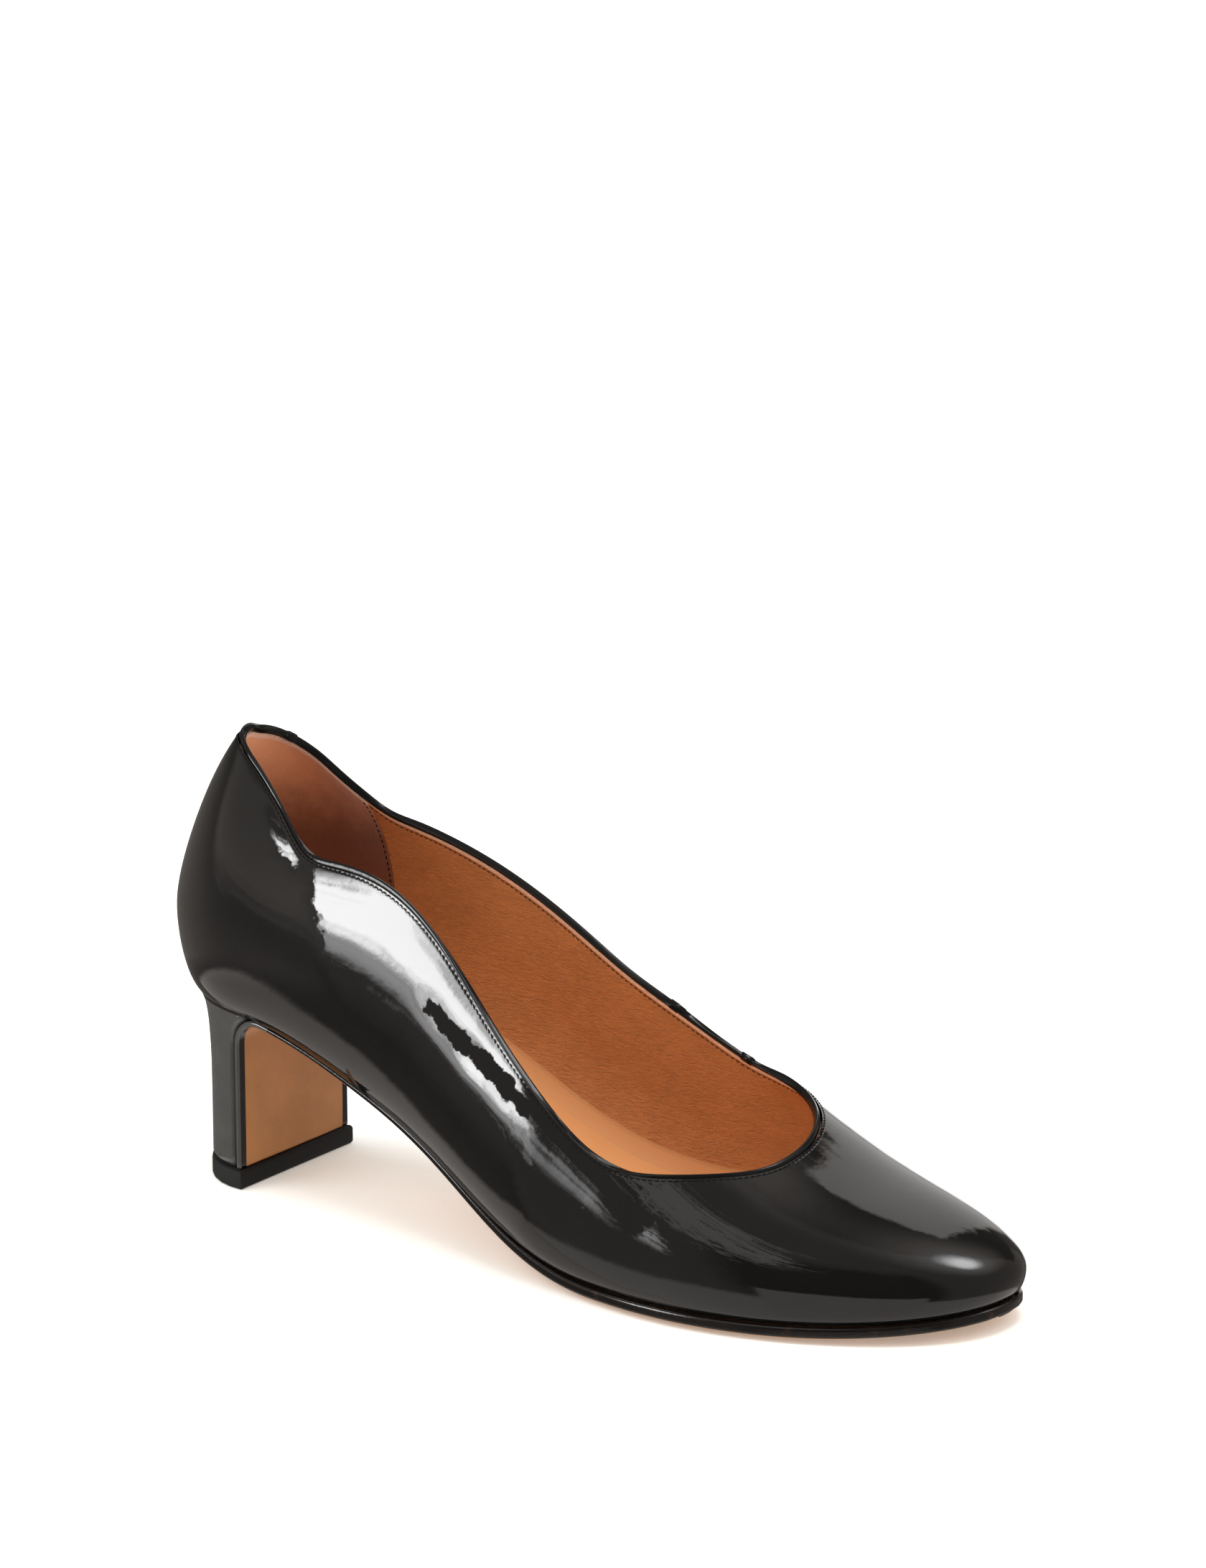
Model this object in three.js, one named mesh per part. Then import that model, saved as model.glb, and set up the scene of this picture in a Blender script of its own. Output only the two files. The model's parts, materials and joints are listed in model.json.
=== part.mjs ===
// A women's court shoe for the right foot: a patent leather upper on a covered block heel.
// Millimetres, +Z up. X runs from heel to toe and +Y is the inner side of the foot.
// The shoe is drawn with its heel's back at x = 0 and the floor at z = 0, and centred at the end.
import * as THREE from "three";
import { mergeVertices } from "three/addons/utils/BufferGeometryUtils.js";

// Driving sizes of the last.
const LENGTH = 240.5; // heel back to toe tip, along the floor
const BALL_WIDTH = 80; // across the joints of the toes
const HEEL_RISE = 43.8; // how much higher the seat's back lies than the forefoot
const TOE_SPRING = 3.2; // lift of the toe tip off the floor
const INSTEP_HEIGHT = 72; // crown over the last's own sole, at the instep
const BACK_HEIGHT = 69; // topline over the upper's lower edge, at the back
const BACK_LEAN = 18; // how far the topline's back leans in over the bulge of the heel
const VAMP_LENGTH = 55; // toe tip to throat, along the floor
const HEEL_ROUND = 30; // heel's back to where its sides begin
const TOE_ROUND = 78; // toe tip to where the sides begin to close round it
const WALL = 1.8; // patent leather, stiffener and lining together

// Driving sizes of the other pieces.
const SOLE_THICKNESS = 2.8;
const SOLE_CAMBER = 1.2; // how far the tread's middle lies under its edges
const CAMBER_WIDTH = 40; // narrowest station of the sole with the whole camber
const FLAP_THICKNESS = 1.6; // where the sole turns down the heel
const SOLE_MARGIN = 1.2; // how far the sole stands out past the upper's lower edge
const TREAD_AT = 140; // heel's back to where the sole reaches its full thickness
const INSOLE_THICKNESS = 3.0;
const INSOLE_LIP = 0.8; // thickness of the part that spreads over the upper's turned-in edge
const HEEL_TIP_WIDTH = 44.5;
const HEEL_TIP_DEPTH = 19; // with the sole's flap on its front
const BREAST_AT = 30; // heel's back to the front face of the flap
const BREAST_BEND = 5; // radius on the inside of the sole's turn
const TOP_PIECE_THICKNESS = 5;
const TOP_PIECE_MARGIN = 0.8; // how far the top piece stands out past the heel's tip
const BINDING_HEIGHT = 1.7;
const EDGE_ROUND = 0.5; // bevel of the sole's and the top piece's edges
const BINDING_PROUD = 0.3; // how far the binding stands out from the wall on each side
const LIP_SHORT = 0.66; // how far round the sole's turn the heel's lip stops before the waist, in radians
const GAP = 0.3; // clearance between pieces that touch

// Ribs on each side of the shoe and rows up each rib.
const HEEL_RIBS = 8;
const QUARTER_RIBS = 16;
const NOTCH_RIB = 3; // the quarter rib that ends in the notch of the topline
const VAMP_RIBS = 14;
const UNDER_ROWS = 3;
const WALL_ROWS = 11;

// Counts for the other pieces.
const BINDING_SIDES = 8;
const TREAD_STRIPS = 4; // strips across a sole or insole, an even count
const HEEL_TURNS = 8; // points round one side of the heel
const BREAST_ROWS = 6;
const LIP_ROWS = 4;
const FLAP_ROWS = 6;
const TURN_ROWS = 8;

// Plan of the widest line: the ridge over the instep and the half widths to either side of it,
// in shares of the ball width, by share of the length.
const PLAN = [
  { at: 0.0, ridge: 0.0, outer: 0.344, inner: 0.344 },
  { at: 0.12, ridge: 0.0, outer: 0.353, inner: 0.353 },
  { at: 0.25, ridge: 0.0, outer: 0.37, inner: 0.362 },
  { at: 0.38, ridge: 0.0, outer: 0.41, inner: 0.37 },
  { at: 0.5, ridge: 0.01, outer: 0.487, inner: 0.385 },
  { at: 0.6, ridge: 0.025, outer: 0.545, inner: 0.42 },
  { at: 0.69, ridge: 0.035, outer: 0.58, inner: 0.44 },
  { at: 0.8, ridge: 0.045, outer: 0.572, inner: 0.41 },
  { at: 0.9, ridge: 0.05, outer: 0.54, inner: 0.385 },
  { at: 1.0, ridge: 0.05, outer: 0.5, inner: 0.38 },
];

// Height of the upper's lower edge, in shares of the heel's rise, and of the toe, in shares of its spring.
// A share under nothing counts as nothing, which leaves the tread flat there.
const PROFILE = [
  { at: 0.0, rise: 1.005, spring: 0 },
  { at: 0.06, rise: 0.985, spring: 0 },
  { at: 0.13, rise: 0.955, spring: 0 },
  { at: 0.18, rise: 0.895, spring: 0 },
  { at: 0.26, rise: 0.735, spring: 0 },
  { at: 0.34, rise: 0.545, spring: 0 },
  { at: 0.42, rise: 0.323, spring: 0 },
  { at: 0.5, rise: 0.123, spring: 0 },
  { at: 0.56, rise: 0.03, spring: 0 },
  { at: 0.62, rise: -0.01, spring: 0 },
  { at: 0.7, rise: -0.02, spring: -0.02 },
  { at: 0.78, rise: -0.02, spring: -0.02 },
  { at: 0.85, rise: -0.02, spring: 0.08 },
  { at: 0.92, rise: -0.02, spring: 0.35 },
  { at: 1.0, rise: -0.02, spring: 1.0 },
];

// Sections of the upper: the height at which the section closes, in shares of the instep height,
// then the height of the widest line and the tuck of the lower edge under it, in shares of the ball width.
const SECTIONS = [
  { at: 0.05, crown: 1.04, widest: 0.27, outerTuck: 0.075, innerTuck: 0.075, margin: 0 },
  { at: 0.08, crown: 0.985, widest: 0.27, outerTuck: 0.075, innerTuck: 0.075, margin: 0 },
  { at: 0.124, crown: 0.895, widest: 0.27, outerTuck: 0.075, innerTuck: 0.075, margin: 0 },
  { at: 0.165, crown: 0.83, widest: 0.27, outerTuck: 0.076, innerTuck: 0.078, margin: -0.2 },
  { at: 0.21, crown: 0.835, widest: 0.27, outerTuck: 0.077, innerTuck: 0.083, margin: -0.4 },
  { at: 0.29, crown: 0.95, widest: 0.26, outerTuck: 0.085, innerTuck: 0.1, margin: -0.5 },
  { at: 0.36, crown: 1.02, widest: 0.25, outerTuck: 0.09, innerTuck: 0.11, margin: -0.4 },
  { at: 0.45, crown: 1.0, widest: 0.22, outerTuck: 0.08, innerTuck: 0.11, margin: 0.1 },
  { at: 0.52, crown: 0.94, widest: 0.19, outerTuck: 0.065, innerTuck: 0.09, margin: 0.6 },
  { at: 0.6, crown: 0.82, widest: 0.16, outerTuck: 0.05, innerTuck: 0.06, margin: 0.95 },
  { at: 0.68, crown: 0.622, widest: 0.14, outerTuck: 0.04, innerTuck: 0.045, margin: 1 },
  { at: 0.77, crown: 0.462, widest: 0.12, outerTuck: 0.035, innerTuck: 0.035, margin: 1 },
  { at: 0.83, crown: 0.395, widest: 0.11, outerTuck: 0.03, innerTuck: 0.03, margin: 1 },
  { at: 0.9, crown: 0.355, widest: 0.095, outerTuck: 0.03, innerTuck: 0.03, margin: 1 },
  { at: 1.0, crown: 0.3, widest: 0.06, outerTuck: 0.025, innerTuck: 0.025, margin: 1 },
];

// Topline over the lower edge, in shares of the back height: down to the notch, then the wave to the throat.
const NOTCH = { outer: 0.213, inner: 0.194 }; // place of the notch on each side, in shares of the length
const TOPLINE_BACK = [
  { at: 0.06, outer: 0.995, inner: 0.99 },
  { at: 0.08, outer: 0.982, inner: 0.962 },
  { at: 0.1, outer: 0.945, inner: 0.905 },
  { at: 0.125, outer: 0.89, inner: 0.843 },
  { at: 0.167, outer: 0.795, inner: 0.77 },
  { at: 0.194, outer: 0.75, inner: 0.726 },
  { at: 0.213, outer: 0.725, inner: 0.71 },
];
const TOPLINE_WAVE = [
  { at: 0.194, outer: 0.715, inner: 0.726 },
  { at: 0.213, outer: 0.725, inner: 0.738 },
  { at: 0.265, outer: 0.785, inner: 0.757 },
  { at: 0.33, outer: 0.838, inner: 0.765 },
  { at: 0.37, outer: 0.835, inner: 0.768 },
  { at: 0.42, outer: 0.79, inner: 0.764 },
  { at: 0.49, outer: 0.684, inner: 0.727 },
  { at: 0.545, outer: 0.593, inner: 0.685 },
  { at: 0.6, outer: 0.5, inner: 0.602 },
  { at: 0.65, outer: 0.44, inner: 0.518 },
  { at: 0.7, outer: 0.41, inner: 0.436 },
];
const THROAT_ROUND = 38; // length of the round front of the topline
const HIGHEST_CLIMB = 0.98; // most of the way up to the closed section that the topline may lie
const THROAT_SHIFT = 11; // how far the middle of the throat lies from the ridge, to the outer side

// Fullness of the curves: 2 is an ellipse, and more is squarer.
const SECTION_FULLNESS = 2.1;
const TOE_FULLNESS = 2.2;
const TOE_CROWN_FULLNESS = 2.0;
const HEEL_FULLNESS = 2.05;
const THROAT_FULLNESS = { outer: 2.7, inner: 1.9 };
const TIP_FULLNESS = 2.05;
const BINDING_FULLNESS = 3.3;
const UNDER_FULLNESS = 1.75; // wall from its lower edge to the widest line
const BACK_CURVE = 1.3; // how late the back's lean comes in
const HEEL_FLARE = 8; // how late the heel widens to the seat

const TOE_START = LENGTH - TOE_ROUND;
const THROAT_AT = LENGTH - VAMP_LENGTH;
const THROAT_START = THROAT_AT - THROAT_ROUND;
const GROUND = SOLE_THICKNESS + SOLE_CAMBER + GAP; // lower edge of the upper where the sole lies flat
const OUTER = -1;
const INNER = 1;
const QUARTER_TURN = Math.PI / 2;

// A smooth curve through one column of a table, by natural cubic spline.
function curveThrough(rows, column) {
  const count = rows.length;
  const at = rows.map((row) => row.at);
  const value = rows.map((row) => row[column]);
  const bend = new Array(count).fill(0);
  const part = new Array(count).fill(0);
  for (let i = 1; i < count - 1; i++) {
    const share = (at[i] - at[i - 1]) / (at[i + 1] - at[i - 1]);
    const pivot = share * bend[i - 1] + 2;
    const ahead = (value[i + 1] - value[i]) / (at[i + 1] - at[i]);
    const behind = (value[i] - value[i - 1]) / (at[i] - at[i - 1]);
    bend[i] = (share - 1) / pivot;
    part[i] = ((6 * (ahead - behind)) / (at[i + 1] - at[i - 1]) - share * part[i - 1]) / pivot;
  }
  for (let i = count - 2; i >= 0; i--) {
    bend[i] = bend[i] * bend[i + 1] + part[i];
  }
  return (x) => {
    let i = 0;
    while (i < count - 2 && x > at[i + 1]) i++;
    const step = at[i + 1] - at[i];
    const a = (at[i + 1] - x) / step;
    const b = 1 - a;
    const curl = (a ** 3 - a) * bend[i] + (b ** 3 - b) * bend[i + 1];
    return a * value[i] + b * value[i + 1] + (curl * step * step) / 6;
  };
}

// A value for each side, made from the side's name.
const forSides = (make) => ({ [OUTER]: make("outer"), [INNER]: make("inner") });

const ridgeShare = curveThrough(PLAN, "ridge");
const halfShare = forSides((name) => curveThrough(PLAN, name));
const riseShare = curveThrough(PROFILE, "rise");
const springShare = curveThrough(PROFILE, "spring");
const crownShare = curveThrough(SECTIONS, "crown");
const widestShare = curveThrough(SECTIONS, "widest");
const marginShare = curveThrough(SECTIONS, "margin");
const tuckShare = forSides((name) => curveThrough(SECTIONS, name + "Tuck"));
const backTopShare = forSides((name) => curveThrough(TOPLINE_BACK, name));
const waveTopShare = forSides((name) => curveThrough(TOPLINE_WAVE, name));
const notchAt = forSides((name) => NOTCH[name] * LENGTH);
const throatFullness = forSides((name) => THROAT_FULLNESS[name]);

// Height of a section at a share of its half width, and the share at a height: the curve is its own inverse.
const arch = (share) => (1 - share ** SECTION_FULLNESS) ** (1 / SECTION_FULLNESS);
const mix = (a, b, share) => a + (b - a) * share;
const clamp = (value, low, high) => Math.min(high, Math.max(low, value));
const ridgeY = (x) => BALL_WIDTH * ridgeShare(x / LENGTH);
const halfWidth = (side, x) => BALL_WIDTH * halfShare[side](x / LENGTH);
const tuck = (side, x) => BALL_WIDTH * tuckShare[side](x / LENGTH);

// Height of the upper's lower edge, which is also the top of the sole and of the heel.
function edgeHeight(x) {
  const rise = Math.max(riseShare(x / LENGTH), 0);
  const spring = Math.max(springShare(x / LENGTH), 0);
  return GROUND + HEEL_RISE * rise + TOE_SPRING * spring;
}

const widestHeight = (x) => edgeHeight(x) + BALL_WIDTH * widestShare(x / LENGTH);

// How far the section rises over its widest line, closing down to nothing at the toe tip.
function crownRise(x) {
  const body = INSTEP_HEIGHT * crownShare(x / LENGTH) - BALL_WIDTH * widestShare(x / LENGTH);
  const into = clamp((x - TOE_START) / TOE_ROUND, 0, 1);
  return body * (1 - into ** TOE_FULLNESS) ** (1 / TOE_CROWN_FULLNESS);
}

// Half width of the widest line, closing down to nothing at the toe tip.
function closedHalf(side, x) {
  const into = clamp((x - TOE_START) / TOE_ROUND, 0, 1);
  return halfWidth(side, x) * (1 - into ** TOE_FULLNESS) ** (1 / TOE_FULLNESS);
}

// Height of the upper's outside over a point of the plan.
function outsideHeight(x, y) {
  const side = y < ridgeY(x) ? OUTER : INNER;
  const half = closedHalf(side, x);
  const share = half > 0 ? clamp(Math.abs(y - ridgeY(x)) / half, 0, 1) : 0;
  return widestHeight(x) + crownRise(x) * arch(share);
}

// Topline height at a place along one side.
function toplineHeight(side, x) {
  const share = x < notchAt[side] ? backTopShare[side](x / LENGTH) : waveTopShare[side](x / LENGTH);
  return edgeHeight(x) + BACK_HEIGHT * share;
}

// Share of the half width at which the section reaches the topline.
function toplineShare(side, x) {
  const climb = clamp((toplineHeight(side, x) - widestHeight(x)) / crownRise(x), 0, HIGHEST_CLIMB);
  return arch(climb);
}

// The ribs of one side from the heel's back to the toe tip. Each has a turn round the heel, a place
// along the side or a turn round the toe, for its foot on the widest line and its end on the topline.
function ribsOf(side) {
  const ribs = [];
  for (let i = 0; i < HEEL_RIBS; i++) {
    ribs.push({ side, part: "heel", turn: (QUARTER_TURN * i) / HEEL_RIBS });
  }
  for (let i = 0; i <= QUARTER_RIBS; i++) {
    const x = mix(HEEL_ROUND, TOE_START, i / QUARTER_RIBS);
    const behind = mix(HEEL_ROUND, notchAt[side], i / NOTCH_RIB);
    const ahead = mix(notchAt[side], THROAT_START, (i - NOTCH_RIB) / (QUARTER_RIBS - NOTCH_RIB));
    ribs.push({ side, part: "quarter", x, topX: i < NOTCH_RIB ? behind : ahead });
  }
  for (let i = 1; i <= VAMP_RIBS; i++) {
    ribs.push({ side, part: "vamp", turn: (QUARTER_TURN * i) / VAMP_RIBS });
  }
  return ribs;
}

const power = (value, fullness) => Math.max(value, 0) ** (2 / fullness);

// Plan point of a rib, set in by a distance from the widest line.
function planPoint(rib, inset) {
  if (rib.part === "heel") {
    const x = HEEL_ROUND - (HEEL_ROUND - inset) * power(Math.cos(rib.turn), HEEL_FULLNESS);
    const reach = (halfWidth(rib.side, x) - inset) * power(Math.sin(rib.turn), HEEL_FULLNESS);
    return { x, y: ridgeY(x) + rib.side * reach };
  }
  if (rib.part === "quarter") {
    return { x: rib.x, y: ridgeY(rib.x) + rib.side * (halfWidth(rib.side, rib.x) - inset) };
  }
  const x = TOE_START + (TOE_ROUND - inset) * power(Math.sin(rib.turn), TOE_FULLNESS);
  const reach = (halfWidth(rib.side, x) - inset) * power(Math.cos(rib.turn), TOE_FULLNESS);
  return { x, y: ridgeY(x) + rib.side * reach };
}

// Plan point where a quarter or vamp rib meets the topline.
function toplinePoint(rib) {
  if (rib.part === "quarter") {
    const reach = halfWidth(rib.side, rib.topX) * toplineShare(rib.side, rib.topX);
    return { x: rib.topX, y: ridgeY(rib.topX) + rib.side * reach };
  }
  const x = mix(THROAT_START, THROAT_AT, power(Math.sin(rib.turn), throatFullness[rib.side]));
  const edge = ridgeY(x) + rib.side * closedHalf(rib.side, x) * toplineShare(rib.side, x);
  const spread = power(Math.cos(rib.turn), throatFullness[rib.side]);
  return { x, y: mix(ridgeY(x) - THROAT_SHIFT, edge, spread) };
}

// Points up the outside of one rib, from the lower edge to the topline.
function ribPoints(rib) {
  const foot = planPoint(rib, 0);
  const under = tuck(rib.side, foot.x);
  const lift = widestHeight(foot.x) - edgeHeight(foot.x);
  const points = [];
  for (let i = 0; i < UNDER_ROWS; i++) {
    const turn = (QUARTER_TURN * i) / UNDER_ROWS;
    const p = planPoint(rib, under * (1 - power(Math.sin(turn), UNDER_FULLNESS)));
    const rise = lift * (1 - power(Math.cos(turn), UNDER_FULLNESS));
    points.push(new THREE.Vector3(p.x, p.y, edgeHeight(p.x) + rise));
  }
  if (rib.part === "heel") {
    const shareAt = (x) => toplineShare(rib.side, x);
    const round = power(Math.cos(rib.turn), HEEL_FULLNESS);
    const width = power(Math.sin(rib.turn), HEEL_FULLNESS);
    const backShare = shareAt(BACK_LEAN);
    for (let i = 0; i <= WALL_ROWS; i++) {
      const climb = arch(Math.cos((Math.acos(backShare) * i) / WALL_ROWS)) / arch(backShare);
      const x = HEEL_ROUND - (HEEL_ROUND - BACK_LEAN * climb ** BACK_CURVE) * round;
      const share = Math.cos((Math.acos(shareAt(x)) * i) / WALL_ROWS);
      const reach = halfWidth(rib.side, x) * share * width;
      const z = widestHeight(x) + crownRise(x) * arch(share);
      points.push(new THREE.Vector3(x, ridgeY(x) + rib.side * reach, z));
    }
    return points;
  }
  const top = toplinePoint(rib);
  const topSide = top.y < ridgeY(top.x) ? OUTER : INNER;
  const topShare = Math.abs(top.y - ridgeY(top.x)) / closedHalf(topSide, top.x);
  const spread = Math.acos(clamp(topShare, 0, 1));
  for (let i = 0; i <= WALL_ROWS; i++) {
    const along = (1 - Math.cos((spread * i) / WALL_ROWS)) / (1 - Math.cos(spread));
    const x = mix(foot.x, top.x, along);
    const y = mix(foot.y, top.y, along);
    points.push(new THREE.Vector3(x, y, outsideHeight(x, y)));
  }
  return points;
}

// Both sides' ribs as one ring round the shoe: heel back, outer side, toe tip, inner side.
function ringOf(makeRib) {
  const outer = ribsOf(OUTER).map(makeRib);
  const inner = ribsOf(INNER).map(makeRib);
  return [...outer, ...inner.slice(1, -1).reverse()];
}

// Unit normals of a grid of points that is closed round its first index, pointing to the outside.
function gridNormals(grid) {
  return grid.map((rib, i) => {
    const before = grid[(i + grid.length - 1) % grid.length];
    const after = grid[(i + 1) % grid.length];
    return rib.map((point, j) => {
      const along = new THREE.Vector3().subVectors(after[j], before[j]);
      const above = rib[Math.min(j + 1, rib.length - 1)];
      const below = rib[Math.max(j - 1, 0)];
      const up = new THREE.Vector3().subVectors(above, below);
      return new THREE.Vector3().crossVectors(along, up).normalize();
    });
  });
}

// Indexed faces as a geometry whose faces point outwards.
function geometryOf(points, faces) {
  const volume = faces.reduce((sum, [a, b, c]) => {
    return sum + points[a].dot(new THREE.Vector3().crossVectors(points[b], points[c]));
  }, 0);
  const index = faces.flatMap(([a, b, c]) => (volume < 0 ? [a, c, b] : [a, b, c]));
  const positions = points.flatMap((point) => [point.x, point.y, point.z]);
  const geometry = new THREE.BufferGeometry();
  geometry.setAttribute("position", new THREE.Float32BufferAttribute(positions, 3));
  geometry.setIndex(index);
  return mergeVertices(geometry, 1e-3);
}

// A closed geometry from loops of points, each joined to the next and the last to the first.
function tubeOf(loops) {
  const count = loops[0].length;
  const faces = [];
  const index = (i, j) => (i % loops.length) * count + (j % count);
  for (let i = 0; i < loops.length; i++) {
    for (let j = 0; j < count; j++) {
      faces.push([index(i, j), index(i + 1, j), index(i + 1, j + 1)]);
      faces.push([index(i, j), index(i + 1, j + 1), index(i, j + 1)]);
    }
  }
  return geometryOf(loops.flat(), faces);
}

// A closed geometry from loops of points, with the first and the last closed by strips from side to side.
// Each loop's points run round from the middle of one side, so point i lies across from point count - i.
function stackOf(loops) {
  const count = loops[0].length;
  const faces = [];
  const index = (i, j) => i * count + (j % count);
  for (let i = 0; i < loops.length - 1; i++) {
    for (let j = 0; j < count; j++) {
      faces.push([index(i, j), index(i + 1, j), index(i + 1, j + 1)]);
      faces.push([index(i, j), index(i + 1, j + 1), index(i, j + 1)]);
    }
  }
  const last = loops.length - 1;
  for (let j = 0; j < count / 2; j++) {
    const across = count - j;
    faces.push([index(0, j), index(0, j + 1), index(0, across - 1)]);
    faces.push([index(0, j), index(0, across - 1), index(0, across)]);
    faces.push([index(last, j), index(last, across - 1), index(last, j + 1)]);
    faces.push([index(last, j), index(last, across), index(last, across - 1)]);
  }
  return geometryOf(loops.flat(), faces);
}

// The upper: outside, rim under the binding, inside and the turned-in lower edge, all round the shoe.
const outside = ringOf(ribPoints);
const outsideNormals = gridNormals(outside);

// The topline's end of each rib: its tip, the direction up the wall and the direction out of it.
const rimFrames = outside.map((rib, i) => {
  const tip = rib[rib.length - 1];
  const up = new THREE.Vector3().subVectors(tip, rib[rib.length - 2]).normalize();
  return { tip, up, out: outsideNormals[i][rib.length - 1] };
});

const upperLoops = outside.map((rib, i) => {
  const { tip, up } = rimFrames[i];
  const outer = [...rib.slice(0, -1), tip.clone().addScaledVector(up, -BINDING_HEIGHT - GAP)];
  const inner = outer.map((point, j) => point.clone().addScaledVector(outsideNormals[i][j], -WALL));
  return [...outer, ...inner.reverse()];
});

// The binding: a rounded bead along the whole topline.
const roundedSquare = (value) => Math.sign(value) * power(Math.abs(value), BINDING_FULLNESS);
const bindingLoops = rimFrames.map(({ tip, up, out }) => {
  const loop = [];
  for (let i = 0; i < BINDING_SIDES; i++) {
    const turn = (2 * Math.PI * (i + 0.5)) / BINDING_SIDES;
    const high = (BINDING_HEIGHT / 2) * (roundedSquare(Math.sin(turn)) - 1);
    const wide = (WALL / 2 + BINDING_PROUD) * roundedSquare(Math.cos(turn));
    loop.push(tip.clone().addScaledVector(up, high).addScaledVector(out, wide - WALL / 2));
  }
  return loop;
});

// The sole's turn down the heel: a quarter turn and the slope of the waist, about one centre.
const flapBack = BREAST_AT - FLAP_THICKNESS;
const turnRadius = BREAST_BEND + FLAP_THICKNESS;
const turnX = flapBack + turnRadius;
const waistSlope = Math.atan(edgeHeight(turnX - 1) - edgeHeight(turnX + 1)) / 2;
const turnZ = edgeHeight(turnX) - GAP - turnRadius / Math.cos(waistSlope);
const turnEnd = QUARTER_TURN - waistSlope;
const turnDone = turnX + turnRadius * Math.cos(turnEnd);
const heelFoot = TOP_PIECE_THICKNESS + GAP;

// How much of the tread's form the sole has at a place along the waist.
function treadShare(x) {
  const share = clamp((x - turnDone) / (TREAD_AT - turnDone), 0, 1);
  return share * share * (3 - 2 * share);
}

// Stations of the sole and insole: the same rib on both sides, from the heel's back to the toe tip.
const outerRibs = ribsOf(OUTER);
const innerRibs = ribsOf(INNER);

// A loop round one station of a plate, from the middle of its lower face.
// Each side is a list of points from its lower to its upper corner.
// Its middle sags below its sides.
function stationLoop(outerSide, innerSide, sag) {
  const width = outerSide[0].distanceTo(innerSide[0]);
  const drop = sag * Math.min(width / CAMBER_WIDTH, 1);
  const between = (from, to, i) => {
    const point = new THREE.Vector3().lerpVectors(from, to, i / TREAD_STRIPS);
    point.z -= drop;
    return point;
  };
  const loop = [...outerSide];
  const top = [outerSide[outerSide.length - 1], innerSide[innerSide.length - 1]];
  const bottom = [innerSide[0], outerSide[0]];
  for (let i = 1; i < TREAD_STRIPS; i++) {
    loop.push(between(top[0], top[1], i));
  }
  loop.push(...[...innerSide].reverse());
  for (let i = 1; i < TREAD_STRIPS; i++) {
    loop.push(between(bottom[0], bottom[1], i));
  }
  const middle = TREAD_STRIPS / 2;
  return [...loop.slice(-middle), ...loop.slice(0, -middle)];
}

// The point of an inner wall at a height over its lower edge, moved off the wall towards the shoe's middle.
function offWall(loop, rib, height) {
  const wall = [...loop].reverse().slice(0, UNDER_ROWS + WALL_ROWS);
  let i = 0;
  while (i < wall.length - 2 && wall[i + 1].z - edgeHeight(wall[i + 1].x) < height) i++;
  const low = wall[i].z - edgeHeight(wall[i].x);
  const high = wall[i + 1].z - edgeHeight(wall[i + 1].x);
  const point = new THREE.Vector3().lerpVectors(wall[i], wall[i + 1], (height - low) / (high - low));
  return offEdge(point, rib, GAP);
}

// A point moved level towards the shoe's middle by a distance.
function offEdge(point, rib, distance) {
  const middle = clamp(point.x, HEEL_ROUND, TOE_START);
  const inwards = new THREE.Vector3(middle - point.x, ridgeY(middle) - point.y, 0).normalize();
  return point.clone().addScaledVector(inwards, distance);
}

// The insole: its edge is tucked under the wall's turned-in edge, and its face spreads to the lining.
function insoleSide(rib, loop) {
  const rim = loop[loop.length - 1];
  const foot = offEdge(rim, rib, GAP);
  const floor = edgeHeight(foot.x);
  const face = offWall(loop, rib, INSOLE_THICKNESS);
  const under = offWall(loop, rib, INSOLE_THICKNESS - INSOLE_LIP);
  return [
    new THREE.Vector3(foot.x, foot.y, floor),
    new THREE.Vector3(foot.x, foot.y, Math.min(rim.z, floor + INSOLE_THICKNESS - INSOLE_LIP)),
    new THREE.Vector3(under.x, under.y, edgeHeight(under.x) + INSOLE_THICKNESS - INSOLE_LIP),
    new THREE.Vector3(face.x, face.y, edgeHeight(face.x) + INSOLE_THICKNESS),
  ];
}

const ringCount = outside.length;
const insoleLoops = outerRibs.map((rib, i) => {
  const outerSide = insoleSide(rib, upperLoops[i]);
  const innerSide = insoleSide(innerRibs[i], upperLoops[(ringCount - i) % ringCount]);
  return stationLoop(outerSide, innerSide, SOLE_CAMBER * treadShare(planPoint(rib, 0).x));
});

// Half width of a line set in from the widest line, at a place along one side, closing round the heel.
function insetHalf(side, x, inset) {
  const into = clamp((HEEL_ROUND - x) / (HEEL_ROUND - inset), 0, 1);
  return (halfWidth(side, x) - inset) * (1 - into ** HEEL_FULLNESS) ** (1 / HEEL_FULLNESS);
}

// How far the sole's outline lies in from the widest line.
const soleInset = (side, x) => tuck(side, x) - SOLE_MARGIN * marginShare(x / LENGTH);

// The heel: rings from the tip up, the front following the flap and its turn to a thin lip under the waist.
const lipEnd = turnEnd + LIP_SHORT;
const tipBack = BREAST_AT - HEEL_TIP_DEPTH;
const seatBack = tuck(OUTER, 0);

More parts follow.
